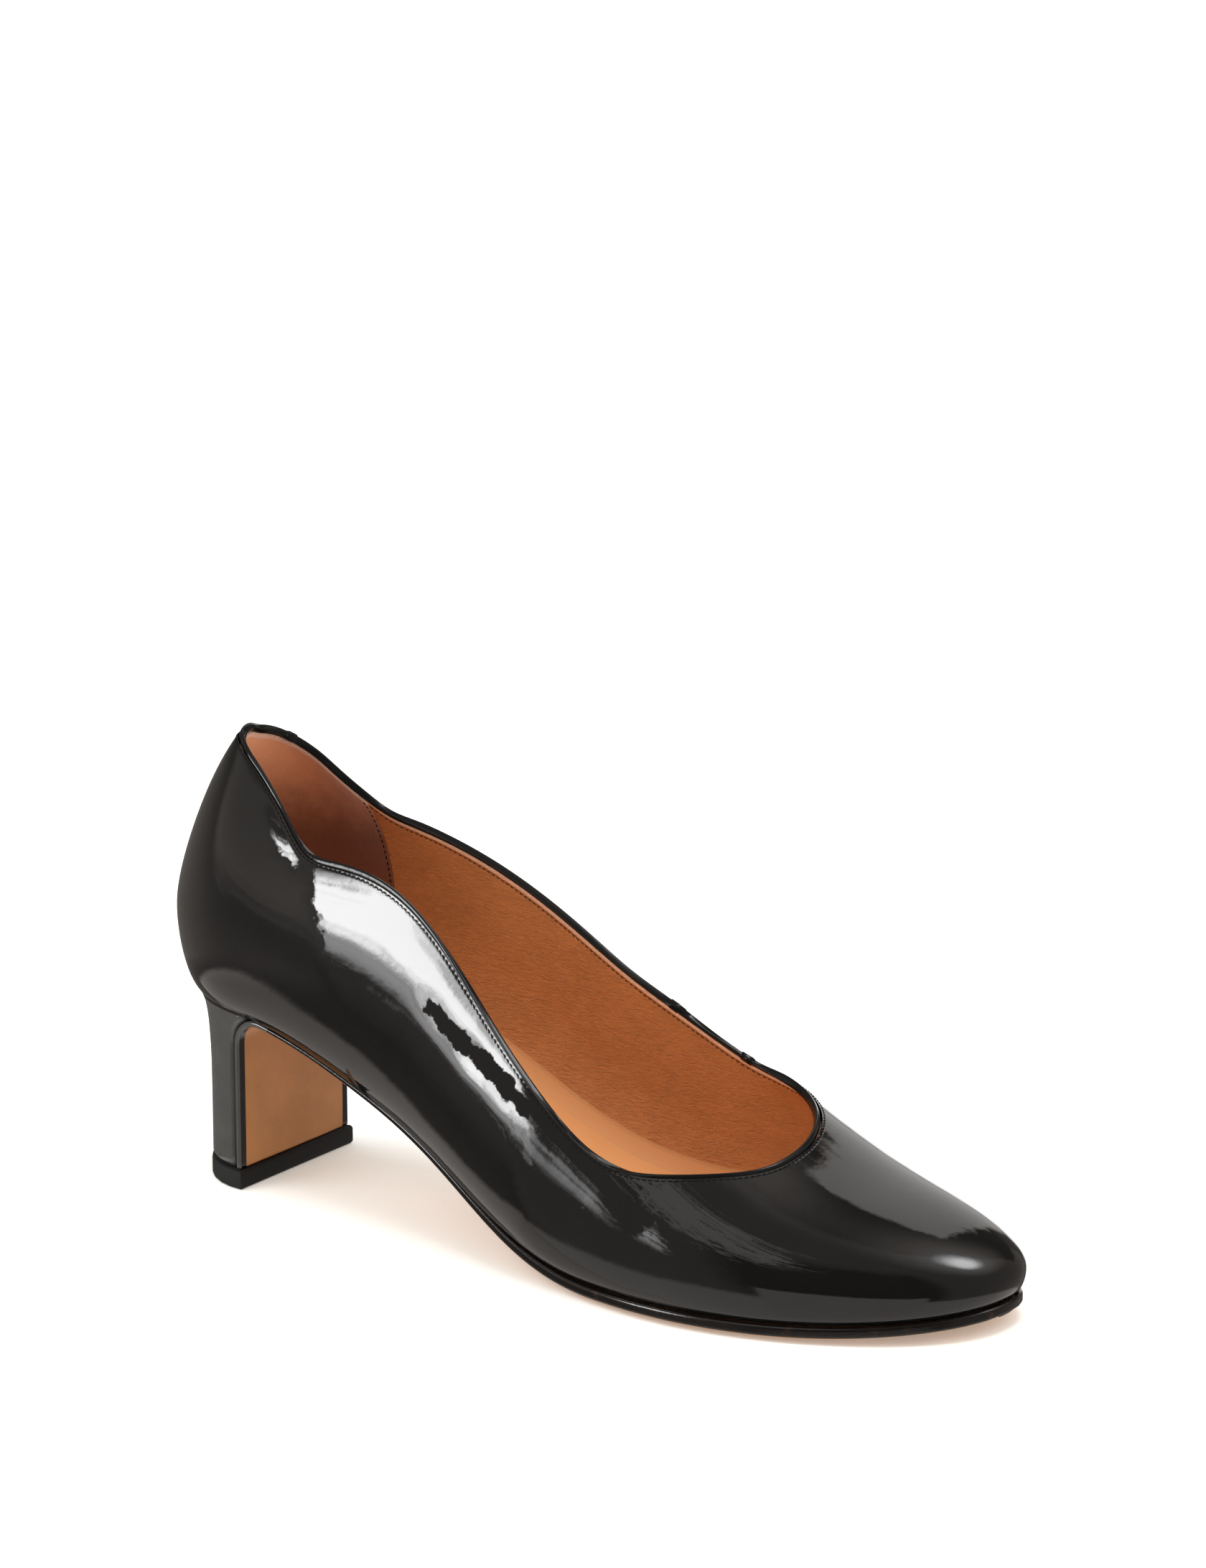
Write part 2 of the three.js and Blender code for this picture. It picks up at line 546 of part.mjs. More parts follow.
function heelFronts() {
  const fronts = [];
  for (let i = 0; i <= BREAST_ROWS; i++) {
    fronts.push({ x: flapBack - GAP, z: mix(heelFoot, turnZ, i / BREAST_ROWS) });
  }
  for (let i = 1; i <= LIP_ROWS; i++) {
    const turn = mix(Math.PI, lipEnd, i / LIP_ROWS);
    const radius = turnRadius + GAP;
    fronts.push({ x: turnX + radius * Math.cos(turn), z: turnZ + radius * Math.sin(turn) });
  }
  const lip = fronts[fronts.length - 1];
  fronts.push({ x: lip.x, z: edgeHeight(lip.x) - GAP });
  return fronts;
}

const seatTop = heelFronts()[BREAST_ROWS + LIP_ROWS + 1].z;
const flare = (z) => clamp((z - heelFoot) / (seatTop - heelFoot), 0, 1) ** HEEL_FLARE;

// Half width of the heel at a height and a share of the way round from its back.
function heelHalf(side, z, turn, frontX) {
  const tip = (HEEL_TIP_WIDTH / 2) * power(Math.sin(turn), TIP_FULLNESS);
  const seatX = frontX - (frontX - seatBack) * power(Math.cos(turn), TIP_FULLNESS);
  const seat = insetHalf(side, seatX, tuck(side, seatX));
  return mix(tip, seat, flare(z));
}

function heelRing(front, level) {
  const points = [];
  const back = mix(tipBack, seatBack, flare(front.z));
  const backZ = mix(heelFoot, edgeHeight(seatBack) - GAP, (front.z - heelFoot) / (seatTop - heelFoot));
  for (const side of [OUTER, INNER]) {
    const half = [];
    for (let i = 0; i <= HEEL_TURNS; i++) {
      const turn = (QUARTER_TURN * i) / HEEL_TURNS;
      const share = power(Math.cos(turn), TIP_FULLNESS);
      const x = mix(front.x, back, share);
      const z = level ? edgeHeight(x) - GAP : mix(front.z, backZ, share);
      half.push(new THREE.Vector3(x, side * heelHalf(side, front.z, turn, front.x), z));
    }
    points.push(...(side === OUTER ? half : half.slice(1).reverse()));
  }
  return points;
}

const heelLoops = heelFronts().map((front, i, all) => heelRing(front, i === all.length - 1));

// The top piece: a plate under the heel and the flap.
function tipOutline(z, margin) {
  const points = [];
  for (const side of [OUTER, INNER]) {
    const half = [];
    for (let i = 0; i <= HEEL_TURNS; i++) {
      const turn = (QUARTER_TURN * i) / HEEL_TURNS;
      const x = BREAST_AT + margin - (HEEL_TIP_DEPTH + 2 * margin) * power(Math.cos(turn), TIP_FULLNESS);
      const y = (HEEL_TIP_WIDTH / 2 + margin) * power(Math.sin(turn), TIP_FULLNESS);
      half.push(new THREE.Vector3(x, side * y, z));
    }
    points.push(...(side === OUTER ? half : half.slice(1).reverse()));
  }
  return points;
}

const topPieceLoops = [
  tipOutline(0, TOP_PIECE_MARGIN - EDGE_ROUND),
  tipOutline(EDGE_ROUND, TOP_PIECE_MARGIN),
  tipOutline(TOP_PIECE_THICKNESS - EDGE_ROUND, TOP_PIECE_MARGIN),
  tipOutline(TOP_PIECE_THICKNESS, TOP_PIECE_MARGIN - EDGE_ROUND),
];

// The outsole: a flap down the heel's front, the turn into the waist, and the tread to the toe.
// One side of a station across the path of the flap or the turn: the path's point, the way to its far face.
function flapSide(side, x, z, away, half) {
  const corner = (depth, inset) => {
    return new THREE.Vector3(x + away.x * depth, side * (half - inset), z + away.z * depth);
  };
  return [
    corner(FLAP_THICKNESS, EDGE_ROUND),
    corner(FLAP_THICKNESS - EDGE_ROUND, 0),
    corner(EDGE_ROUND, 0),
    corner(0, EDGE_ROUND),
  ];
}

function flapStation(x, z, away, halfOf) {
  return stationLoop(
    flapSide(OUTER, x, z, away, halfOf(OUTER)),
    flapSide(INNER, x, z, away, halfOf(INNER)),
    0,
  );
}

// One side of a station of the tread.
function treadSide(rib) {
  const foot = planPoint(rib, 0);
  const inset = soleInset(rib.side, foot.x);
  const thickness = mix(FLAP_THICKNESS, SOLE_THICKNESS, treadShare(foot.x));
  const corner = (depth, more) => {
    const p = planPoint(rib, inset + more);
    return new THREE.Vector3(p.x, p.y, edgeHeight(p.x) - GAP - depth);
  };
  return [
    corner(thickness, EDGE_ROUND),
    corner(thickness - EDGE_ROUND, 0),
    corner(EDGE_ROUND, 0),
    corner(0, EDGE_ROUND),
  ];
}

const outsoleLoops = [];
for (let i = 0; i <= FLAP_ROWS; i++) {
  const z = mix(heelFoot, turnZ, i / FLAP_ROWS);
  const halfOf = (side) => heelHalf(side, z, QUARTER_TURN, flapBack);
  outsoleLoops.push(flapStation(flapBack, z, { x: 1, z: 0 }, halfOf));
}
for (let i = 1; i <= TURN_ROWS; i++) {
  const turn = mix(Math.PI, turnEnd, i / TURN_ROWS);
  const away = { x: -Math.cos(turn), z: -Math.sin(turn) };
  const x = turnX - turnRadius * away.x;
  const z = turnZ - turnRadius * away.z;
  const waistHalf = (side) => halfWidth(side, x) - soleInset(side, x);
  const halfOf = (side) => mix(heelHalf(side, z, QUARTER_TURN, flapBack), waistHalf(side), i / TURN_ROWS);
  outsoleLoops.push(flapStation(x, z, away, halfOf));
}
outerRibs.forEach((rib, i) => {
  if (rib.part === "heel" || (rib.part === "quarter" && rib.x < turnDone + EDGE_ROUND)) return;
  const sag = SOLE_CAMBER * treadShare(planPoint(rib, 0).x);
  outsoleLoops.push(stationLoop(treadSide(rib), treadSide(innerRibs[i]), sag));
});

// The pieces in the frame they are drawn in.
const pieces = new THREE.Group();
function addPiece(name, geometry, color, roughness) {
  const material = new THREE.MeshStandardMaterial({ color, roughness, metalness: 0 });
  const piece = new THREE.Mesh(geometry, material);
  piece.name = name;
  pieces.add(piece);
}
addPiece("upper", tubeOf(upperLoops), 0x1c1a19, 0.12);
addPiece("topline_binding", tubeOf(bindingLoops), 0x161414, 0.2);
addPiece("insole", stackOf(insoleLoops), 0xc58a4e, 0.6);
addPiece("outsole", stackOf(outsoleLoops), 0xb9884f, 0.5);
addPiece("heel", stackOf(heelLoops), 0x1c1a19, 0.12);
addPiece("top_piece", stackOf(topPieceLoops), 0x141414, 0.6);

// The shoe, with the middle of its foot print's box at the origin.
const box = new THREE.Box3().setFromObject(pieces);
pieces.position.set(-(box.min.x + box.max.x) / 2, -(box.min.y + box.max.y) / 2, -box.min.z);
const shoe = new THREE.Group();
shoe.add(pieces);

export default shoe;
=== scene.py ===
import json
import math

import bpy
from bpy.props import FloatProperty, FloatVectorProperty, IntProperty, PointerProperty
from mathutils import Matrix, Vector
from mathutils.bvhtree import BVHTree
from mathutils.kdtree import KDTree

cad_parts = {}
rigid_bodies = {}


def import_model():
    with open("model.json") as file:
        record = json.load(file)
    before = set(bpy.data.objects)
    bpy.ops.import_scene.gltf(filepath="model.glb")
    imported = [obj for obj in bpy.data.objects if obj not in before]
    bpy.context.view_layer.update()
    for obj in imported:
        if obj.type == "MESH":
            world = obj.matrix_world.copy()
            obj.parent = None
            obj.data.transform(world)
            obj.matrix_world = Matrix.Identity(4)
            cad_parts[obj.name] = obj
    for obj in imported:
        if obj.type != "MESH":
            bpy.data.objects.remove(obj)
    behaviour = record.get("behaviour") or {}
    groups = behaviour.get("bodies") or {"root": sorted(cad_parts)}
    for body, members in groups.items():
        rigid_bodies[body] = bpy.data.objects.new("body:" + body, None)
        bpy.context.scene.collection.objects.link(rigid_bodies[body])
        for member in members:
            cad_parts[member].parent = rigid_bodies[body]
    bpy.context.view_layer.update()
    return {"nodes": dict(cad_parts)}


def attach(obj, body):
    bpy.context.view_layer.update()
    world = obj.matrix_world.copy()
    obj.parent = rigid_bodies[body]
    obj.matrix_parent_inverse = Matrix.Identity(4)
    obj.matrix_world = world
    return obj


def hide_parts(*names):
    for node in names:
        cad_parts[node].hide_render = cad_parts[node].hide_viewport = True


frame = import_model()

bl_info = {
    "name": "Block Heel Court Shoe",
    "version": (1, 0, 0),
    "blender": (4, 5, 0),
    "location": "3D View > Sidebar > Shoe",
    "description": "Dresses the packed court shoe in its leathers, stitches and creases",
    "category": "Object",
}

MM = 0.001
SHARP = 40  # degrees over which an edge of the harder pieces counts as sharp
WALL_RIM = 50  # degrees over which an edge of the upper parts its outside, inside and rims
INSIDE_WALL = Vector((0.0, 0.03, 0.04))  # a place near the upper's inside
FLAP_START = -0.083  # length behind which the outsole is the flap on the heel
STEEP = 0.6  # share of a normal along an axis that tells the outsole's edge from its faces

BEAD_REACH = 0.9 * MM  # how near the bead's lower edges lie to the walls that they are folded over

# Joints of the binding: how far each reaches and how thick it is, and places on the bead's path in mm.
JOINT_REACH = 1.5 * MM
JOINT_THICKNESS = 0.28 * MM
BINDING_JOINTS = [(-97.6, 13.1, 110.2), (9.7, 28.7, 54.0), (28.5, 31.5, 43.0)]

# Soft troughs pressed into the patent leather: two ends in mm, half width in mm and depth in mm.
TROUGHS = [
    ((-23.2, -28.2, 62.5), (-8.2, -31.2, 51.5), 6.0, 0.20),
    ((-10.0, -30.5, 54.0), (4.0, -33.0, 44.5), 5.0, 0.20),
]

# Slow swells of the outer wall, which turn its shine: the way they run, places along it in mm where
# they start and end, length in mm over which they set in, height in mm over the floor where they set
# in, and how far the surface leans in them.
SWELLS = [
    ((-1.0, 0.0, -0.5), 19.0, 200.0, 10.0, 54.0, (-0.33, 0.0, -0.10)),
    ((1.0, 0.0, 0.0), 2.0, 52.0, 12.0, 0.0, (0.14, 0.0, 0.0)),
]

# The feathered shine behind the outer notch: lengths in mm over which it sets in and ends, depths in
# mm under the topline over which it sets in and ends, and how far the surface leans in it.
FEATHER_ALONG = ((-87.0, -76.0), (-69.0, -64.0))
FEATHER_BELOW = ((0.8, 1.8), (2.5, 8.0))
FEATHER = (-0.10, 0.0, -0.16)

# Sideways places in mm over which the marks of the outer side end.
OUTER_SIDE = (-14.0, -4.0)

# The dented strip under the outer topline: its two ends in mm, its way up, its lower edge and
# height in mm over the line of the ends, and how far the surface leans in it.
DENT = ((-24.0, -28.0, 63.0), (11.0, -33.0, 43.5), (0.48, -0.10, 0.86), -2.6, 3.6, (0.0, 0.0, -0.26))

# How far the noise moves the edges of the swells and the strip, in mm.
TORN_ALONG = 9.0
TORN_ACROSS = 5.0

# Short sharp folds in the patent: two ends in mm, half width in mm and depth in mm.
PLEATS = [((-51.9, -24.4, 39.4), (-49.9, -22.5, 35.4), 0.9, 0.6)]

# Length, width and height of one stitch, outside and on the lining, and how deep it lies in the lining.
THREAD = (1.3 * MM, 0.42 * MM, 0.34 * MM)
LINING_THREAD = (1.1 * MM, 0.44 * MM, 0.38 * MM)
LINING_SINK = 0.02 * MM

# Where the rows of stitches run, in mm under the topline.
OUTER_ROW = 0.58
LINING_ROW = 1.9

WHITE = 0.95  # sky for the floor and for matt surfaces
DIM = 0.3  # sky that gloss sees between the lamps

# The camera that took the photo: its place in metres, its way round from -Y towards +X and up in
# degrees, and its lens in mm.
CAMERA_PLACE = (0.67295, -0.9503, 0.4159)
CAMERA_AZIMUTH = 35.0
CAMERA_ELEVATION = 14.5
CAMERA_LENS = 150.0

# Matt light: name, azimuth and elevation in degrees, side and distance in metres, radiance.
LAMPS = [
    ("left_softbox", -40, 38, 0.8, 1.4, 2.4),
    ("right_softbox", 95, 45, 0.6, 1.4, 1.0),
    ("top_softbox", 60, 82, 0.7, 1.3, 7.0),
]

# The studio as gloss sees it, later ones over earlier ones: azimuth from -Y towards +X and elevation
# in degrees, each from and to, lean of the azimuth with the elevation, softness and raggedness in
# degrees, and radiance.
PANELS = [
    (-200, -43, -100, 60, 0.0, 5, 5, 0.15),
    (-84, -43, -8, 60, 0.0, 8, 10, 0.5),
    (-2, 70, -30, 62, 0.0, 8, 10, 0.06),
    (-48, 200, -100, -31, 0.0, 2, 0, 0.9),
    (-105, -48, -100, -29, 0.0, 1.5, 0, 0.8),
    (-200, -105, -100, -38, 0.0, 3, 0, 0.5),
    (3, 60, -60, -21, 0.0, 2, 0, 0.85),
    (-30, 14, 38, 72, 0.0, 6, 60, 1.1),
    (-43, -22, 0, 35, 0.0, 4, 12, 5.0),
    (-42, -25, 8, 33, 0.0, 4, 10, 21.0),
    (-200, -150, 20, 75, 0.0, 3, 6, 0.08),
    (160, 200, 20, 75, 0.0, 3, 6, 0.08),
    (-165.5, -148, 6, 50, 0.19, 1.5, 6, 1.2),
    (-168, -148, -14, 4, 0.0, 3, 4, 2.6),
]

# Round lamps as gloss sees them: azimuth, elevation, inner and outer size in degrees, and radiance.
SPOTS = [
    (147, 57, 0, 30, 1.3),
    (147, 57, 3, 12, 8.0),
]


def alone(piece):
    """Only this piece is selected and active."""
    if bpy.context.object and bpy.context.object.mode != "OBJECT":
        bpy.ops.object.mode_set(mode="OBJECT")
    bpy.ops.object.select_all(action="DESELECT")
    piece.select_set(True)
    bpy.context.view_layer.objects.active = piece


def edit(piece, kind="FACE"):
    """Edit mode on one piece, with what was picked before kept."""
    alone(piece)
    bpy.ops.object.mode_set(mode="EDIT")
    bpy.ops.mesh.select_mode(type=kind)


def done():
    """Back to object mode."""
    bpy.ops.object.mode_set(mode="OBJECT")


def edit_without_picks(piece, kind):
    """Edit mode on one piece with nothing picked."""
    edit(piece, kind)
    bpy.ops.mesh.select_all(action="DESELECT")


def pick_faces(piece, test):
    """Edit mode with only the faces that pass a test of their centre and normal picked."""
    alone(piece)
    bpy.context.tool_settings.mesh_select_mode = (False, False, True)
    mesh = piece.data
    mesh.vertices.foreach_set("select", [False] * len(mesh.vertices))
    mesh.edges.foreach_set("select", [False] * len(mesh.edges))
    mesh.polygons.foreach_set("select", [bool(test(p.center, p.normal)) for p in mesh.polygons])
    bpy.ops.object.mode_set(mode="EDIT")


def pick_all_but_sheet(piece, face):
    """Edit mode with all faces picked but one face and those joined to it up to the seams."""
    index = face.index
    pick_faces(piece, lambda at, normal: False)
    done()
    piece.data.polygons[index].select = True
    bpy.ops.object.mode_set(mode="EDIT")
    bpy.ops.mesh.select_linked(delimit={"SEAM"})
    bpy.ops.mesh.select_all(action="INVERT")


def split_off(piece, name):
    """The faces picked in edit mode become a piece of their own."""
    before = set(bpy.data.objects)
    bpy.ops.mesh.separate(type="SELECTED")
    done()
    new = (set(bpy.data.objects) - before).pop()
    new.name = name
    return new


def modified(piece, kind, **settings):
    """A modifier added and applied."""
    alone(piece)
    modifier = piece.modifiers.new(kind.title(), kind)
    for key, value in settings.items():
        setattr(modifier, key, value)
    bpy.ops.object.modifier_apply(modifier=modifier.name)


def subdivided(piece, levels):
    modified(piece, "SUBSURF", levels=levels, render_levels=levels)


def smoothed(piece, degrees=SHARP):
    """Smooth shading, but for edges sharper than this."""
    alone(piece)
    bpy.ops.object.shade_smooth_by_angle(angle=math.radians(degrees))


def creased(piece, crease):
    """Subdivided, with its sharp edges held by a crease."""
    edit_without_picks(piece, "EDGE")
    bpy.ops.mesh.edges_select_sharp(sharpness=math.radians(SHARP))
    bpy.ops.transform.edge_crease(value=crease)
    done()
    subdivided(piece, 2)
    smoothed(piece)


def cad_copy(node, name):
    """A copy of a CAD node, merged and with its four-sided faces back."""
    piece = bpy.data.objects.new(name, frame["nodes"][node].data.copy())
    bpy.context.scene.collection.objects.link(piece)
    piece.data.materials.clear()
    edit(piece)
    bpy.ops.mesh.select_all(action="SELECT")
    bpy.ops.mesh.remove_doubles(threshold=1e-6)
    bpy.ops.mesh.tris_convert_to_quads(
        face_threshold=math.pi, shape_threshold=math.pi, topology_influence=2.0
    )
    done()
    return piece


def dressed(piece, material, slot, *nodes):
    """The piece's material, its place on the body and what it stands for."""
    piece.data.materials.clear()
    for one in material if isinstance(material, (list, tuple)) else [material]:
        piece.data.materials.append(one)
    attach(piece, "root")
    if nodes:
        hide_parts(*nodes)
    return piece


class Value:
    """A number in a material, written as an expression."""

    def __init__(self, recipe, socket):
        self.recipe = recipe
        self.socket = socket

    def _math(self, operation, *others, clamp=False):
        node = self.recipe.tree.nodes.new("ShaderNodeMath")
        node.operation = operation
        node.use_clamp = clamp
        for socket, value in zip(node.inputs, others):
            self.recipe.put(socket, value)
        return Value(self.recipe, node.outputs[0])

    def __add__(self, other):
        return self._math("ADD", self, other)

    def __radd__(self, other):
        return self._math("ADD", other, self)

    def __sub__(self, other):
        return self._math("SUBTRACT", self, other)

    def __rsub__(self, other):
        return self._math("SUBTRACT", other, self)

    def __mul__(self, other):
        return self._math("MULTIPLY", self, other)

    def __rmul__(self, other):
        return self._math("MULTIPLY", other, self)

    def __truediv__(self, other):
        return self._math("DIVIDE", self, other)

    def __rtruediv__(self, other):
        return self._math("DIVIDE", other, self)

    def __abs__(self):
        return self._math("ABSOLUTE", self)

    def __neg__(self):
        return self._math("MULTIPLY", self, -1.0)

    def clamped(self):
        return self._math("ADD", self, 0.0, clamp=True)

    def step(self, low, high):
        """0 under low, 1 over high and smooth between."""
        return self.recipe.node(
            "ShaderNodeMapRange",
            {"interpolation_type": "SMOOTHSTEP"},
            {"Value": self, "From Min": low, "From Max": high, "To Min": 0.0, "To Max": 1.0},
        )


class Recipe:
    """One procedural material, or the studio's sky, and the nodes it is written with."""

    def __init__(self, name, **settings):
        self.material = bpy.data.materials.new(name)
        self.use(self.material, "Principled BSDF")
        for key, value in settings.items():
            self.shader.inputs[key].default_value = value

    @classmethod
    def of_sky(cls, name):
        sky = cls.__new__(cls)
        sky.material = bpy.data.worlds.new(name)
        sky.use(sky.material, "Background")
        return sky

    def use(self, owner, shader):
        owner.use_nodes = True
        self.tree = owner.node_tree
        self.shader = self.tree.nodes[shader]

    def put(self, socket, value):
        """A link or a plain value on a socket."""
        if isinstance(value, Value):
            self.tree.links.new(value.socket, socket)
        elif hasattr(value, "is_output"):
            self.tree.links.new(value, socket)
        elif isinstance(value, (tuple, list)) and len(value) == 3 and len(socket.default_value) == 4:
            socket.default_value = (*value, 1.0)
        else:
            socket.default_value = value

    def node(self, kind, settings=None, values=None, output=0):
        """Any node: its type, its settings and the values or links of its sockets."""
        node = self.tree.nodes.new(kind)
        for key, value in (settings or {}).items():
            setattr(node, key, value)
        for key, value in (values or {}).items():
            self.put(node.inputs[key], value)
        return Value(self, node.outputs[output])

    def place(self, scale=(1.0, 1.0, 1.0), turn=(0.0, 0.0, 0.0)):
        """Object coordinates in millimetres, stretched or turned."""
        at = self.node("ShaderNodeTexCoord", output="Object")
        factor = tuple(1000.0 * s for s in scale)
        return self.node("ShaderNodeMapping", {}, {"Vector": at, "Scale": factor, "Rotation": turn})

    def attribute(self, name):
        """What the script stored for each vertex."""
        return self.node("ShaderNodeAttribute", {"attribute_name": name}, output="Fac")

    def noise(self, size, place=None, detail=3.0, roughness=0.5, distortion=0.0):
        """Soft noise from 0 to 1 whose spots are about size millimetres."""
        return self.node(
            "ShaderNodeTexNoise",
            {},
            {
                "Vector": place or self.place(),
                "Scale": 1.0 / size,
                "Detail": detail,
                "Roughness": roughness,
                "Distortion": distortion,
            },
        )

    def blend(self, factor, first, second):
        """A colour between two."""
        node = self.tree.nodes.new("ShaderNodeMix")
        node.data_type = "RGBA"
        self.put(node.inputs["Factor"], factor)
        self.put(node.inputs[6], first)
        self.put(node.inputs[7], second)
        return Value(self, node.outputs[2])

    def scaled(self, factor, vector):
        """A vector times a number."""
        return self.node(
            "ShaderNodeVectorMath", {"operation": "SCALE"}, {"Vector": vector, "Scale": factor}
        )

    def dot(self, first, second):
        """How far one vector reaches along a fixed one."""
        return self.vector("DOT_PRODUCT", first, tuple(second), "Value")

    def segment_distance(self, start, end):
        """Distance in mm from the line between two places."""
        way = Vector(end) - Vector(start)
        from_start = self.vector("SUBTRACT", self.place(), start)
        share = (self.dot(from_start, way) / way.length_squared).clamped()
        away = self.vector("SUBTRACT", from_start, self.scaled(share, tuple(way)))
        return self.vector("LENGTH", away, output="Value")

    def vector(self, operation, first, second=None, output=0):
        """A vector operation on one or two vectors."""
        node = self.tree.nodes.new("ShaderNodeVectorMath")
        node.operation = operation
        self.put(node.inputs[0], first)
        if second is not None:
            self.put(node.inputs[1], second)
        return Value(self, node.outputs[output])

    def relief(self, height, depth_mm, under=None):
        """A bump whose height of 1 stands depth_mm proud."""
        values = {"Height": height, "Strength": 1.0, "Distance": depth_mm * MM}
        if under is not None:
            values["Normal"] = under
        return self.node("ShaderNodeBump", {}, values)

    def finish(self, **inputs):
        """The material, with these values or links on its shader's sockets."""
        for key, value in inputs.items():
            self.put(self.shader.inputs[key.replace("_", " ")], value)
        return self.material


def colour_property(name, description, default):
    return FloatVectorProperty(
        name=name, description=description, subtype="COLOR", default=default, min=0.0, max=1.0, size=3
    )


class ShoeLeathers(bpy.types.PropertyGroup):
    patent: colour_property("Patent", "Base colour of the patent leather", (0.003, 0.0028, 0.0028))
    heel: colour_property("Heel", "Base colour of the covered heel", (0.045, 0.0435, 0.042))
    lining: colour_property("Lining", "Base colour of the lining", (0.485, 0.186, 0.060))
    sock: colour_property("Sock", "Base colour of the sock", (0.66, 0.30, 0.115))
    grip: colour_property("Heel grip", "Base colour of the suede heel grip", (0.34, 0.115, 0.05))
    sole: colour_property("Sole", "Base colour of the sole leather", (0.42, 0.172, 0.048))
    edge: colour_property("Sole edge", "Paint on the edge of the sole", (0.005, 0.004, 0.0035))
    rubber: colour_property("Top piece", "Base colour of the top piece", (0.008, 0.008, 0.008))


class ShoeSizes(bpy.types.PropertyGroup):
    skin: FloatProperty(
        name="Skin", description="Thickness of the patent skin", default=0.9 * MM, unit="LENGTH"
    )
    lining: FloatProperty(
        name="Lining", description="Thickness of the lining", default=0.75 * MM, unit="LENGTH"
    )
    grip: FloatProperty(
        name="Heel grip", description="Thickness of the heel grip", default=0.45 * MM, unit="LENGTH"
    )
    grip_front: FloatProperty(
        name="Heel grip front",
        description="Where the grip's front seam crosses the wall",
        default=-78.5 * MM,
        unit="LENGTH",
    )
    stitch: FloatProperty(
        name="Stitch pitch",
        description="Length of one stitch and its gap",
        default=1.5 * MM,
        unit="LENGTH",
    )
    fold: FloatProperty(
        name="Binding fold",
        description="How much shorter the binding is on the inside",
        default=0.5 * MM,
        unit="LENGTH",
    )
    lap: FloatProperty(
        name="Binding lap",
        description="How far the binding laps over the patent skin",
        default=0.6 * MM,
        unit="LENGTH",
    )
    sock_edge: FloatProperty(
        name="Sock edge",
        description="How far the sock's edge runs up the lining",
        default=4.8 * MM,
        unit="LENGTH",
    )
    rim: FloatProperty(
        name="Painted rim",
        description="Black rim painted round the sole's face",
        default=0.35 * MM,
        unit="LENGTH",
    )
    detail: IntProperty(
        name="Detail", description="Subdivision levels of the upper's walls", default=2, min=0, max=3
    )


def leathers():
    """The leathers' colours, as set in the panel."""
    return bpy.context.scene.shoe_leathers


def sizes():
    """The sizes, as set in the panel."""
    return bpy.context.scene.shoe_sizes


def shaded(colour, share):
    """A colour made darker or lighter."""
    return tuple(min(1.0, c * share) for c in colour)


def cut_edge(mix):
    """1 on the ragged cut edge that shows under the topline, and 0 below it."""
    ragged = mix.noise(1.1, detail=4.0, roughness=0.8)
    return 1.0 - (mix.attribute("below_rim") + (ragged - 0.5) * 0.8).step(1.0, 1.3)


def outer_normal(mix):
    """The upper's surface direction, leaned in its swells, the feathered shine and the dented strip."""
    at = mix.place()
    x, y, z = (mix.dot(at, axis) for axis in ((1, 0, 0), (0, 1, 0), (0, 0, 1)))
    torn = mix.noise(4.0, detail=4.0, roughness=0.6) - 0.5
    below = mix.attribute("below_rim")
    outer = 1.0 - y.step(*OUTER_SIDE)
    normal = mix.node("ShaderNodeNewGeometry", output="Normal")
    (back, front), (upper, lower) = FEATHER_ALONG, FEATHER_BELOW
    feather = (1.0 - (below + torn * TORN_ACROSS).step(*lower)) * (x + torn * 8.0).step(*back)
    feather = feather * (1.0 - x.step(*front)) * (below + torn).step(*upper)
    for way, start, end, soft, low, lean in SWELLS:
        along = mix.dot(at, way) + torn * TORN_ALONG
        held = along.step(start, start + soft) * (1.0 - along.step(end - soft, end))
        held = held * z.step(low, low + 10.0) * outer * (1.0 - feather)
        normal = mix.vector("ADD", normal, mix.scaled(held, lean))
    normal = mix.vector("ADD", normal, mix.scaled(feather * outer, FEATHER))
    start, end, rise, low, tall, lean = DENT
    start, end, rise = Vector(start), Vector(end), Vector(rise)
    way = (end - start).normalized()
    rise = (rise - way * rise.dot(way)).normalized()
    from_start = mix.vector("SUBTRACT", at, tuple(start))
    along = mix.dot(from_start, way) + torn * TORN_ALONG
    up = mix.dot(from_start, rise) + torn * TORN_ACROSS
    span = (end - start).length
    held = along.step(-1.0, 1.0) * (1.0 - along.step(span - 1.0, span + 1.0))
    top = low + tall
    held = held * up.step(low - 0.4, low + 0.4) * (1.0 - up.step(top - 0.4, top + 0.4)) * outer
    return mix.vector("NORMALIZE", mix.vector("ADD", normal, mix.scaled(held, lean)))


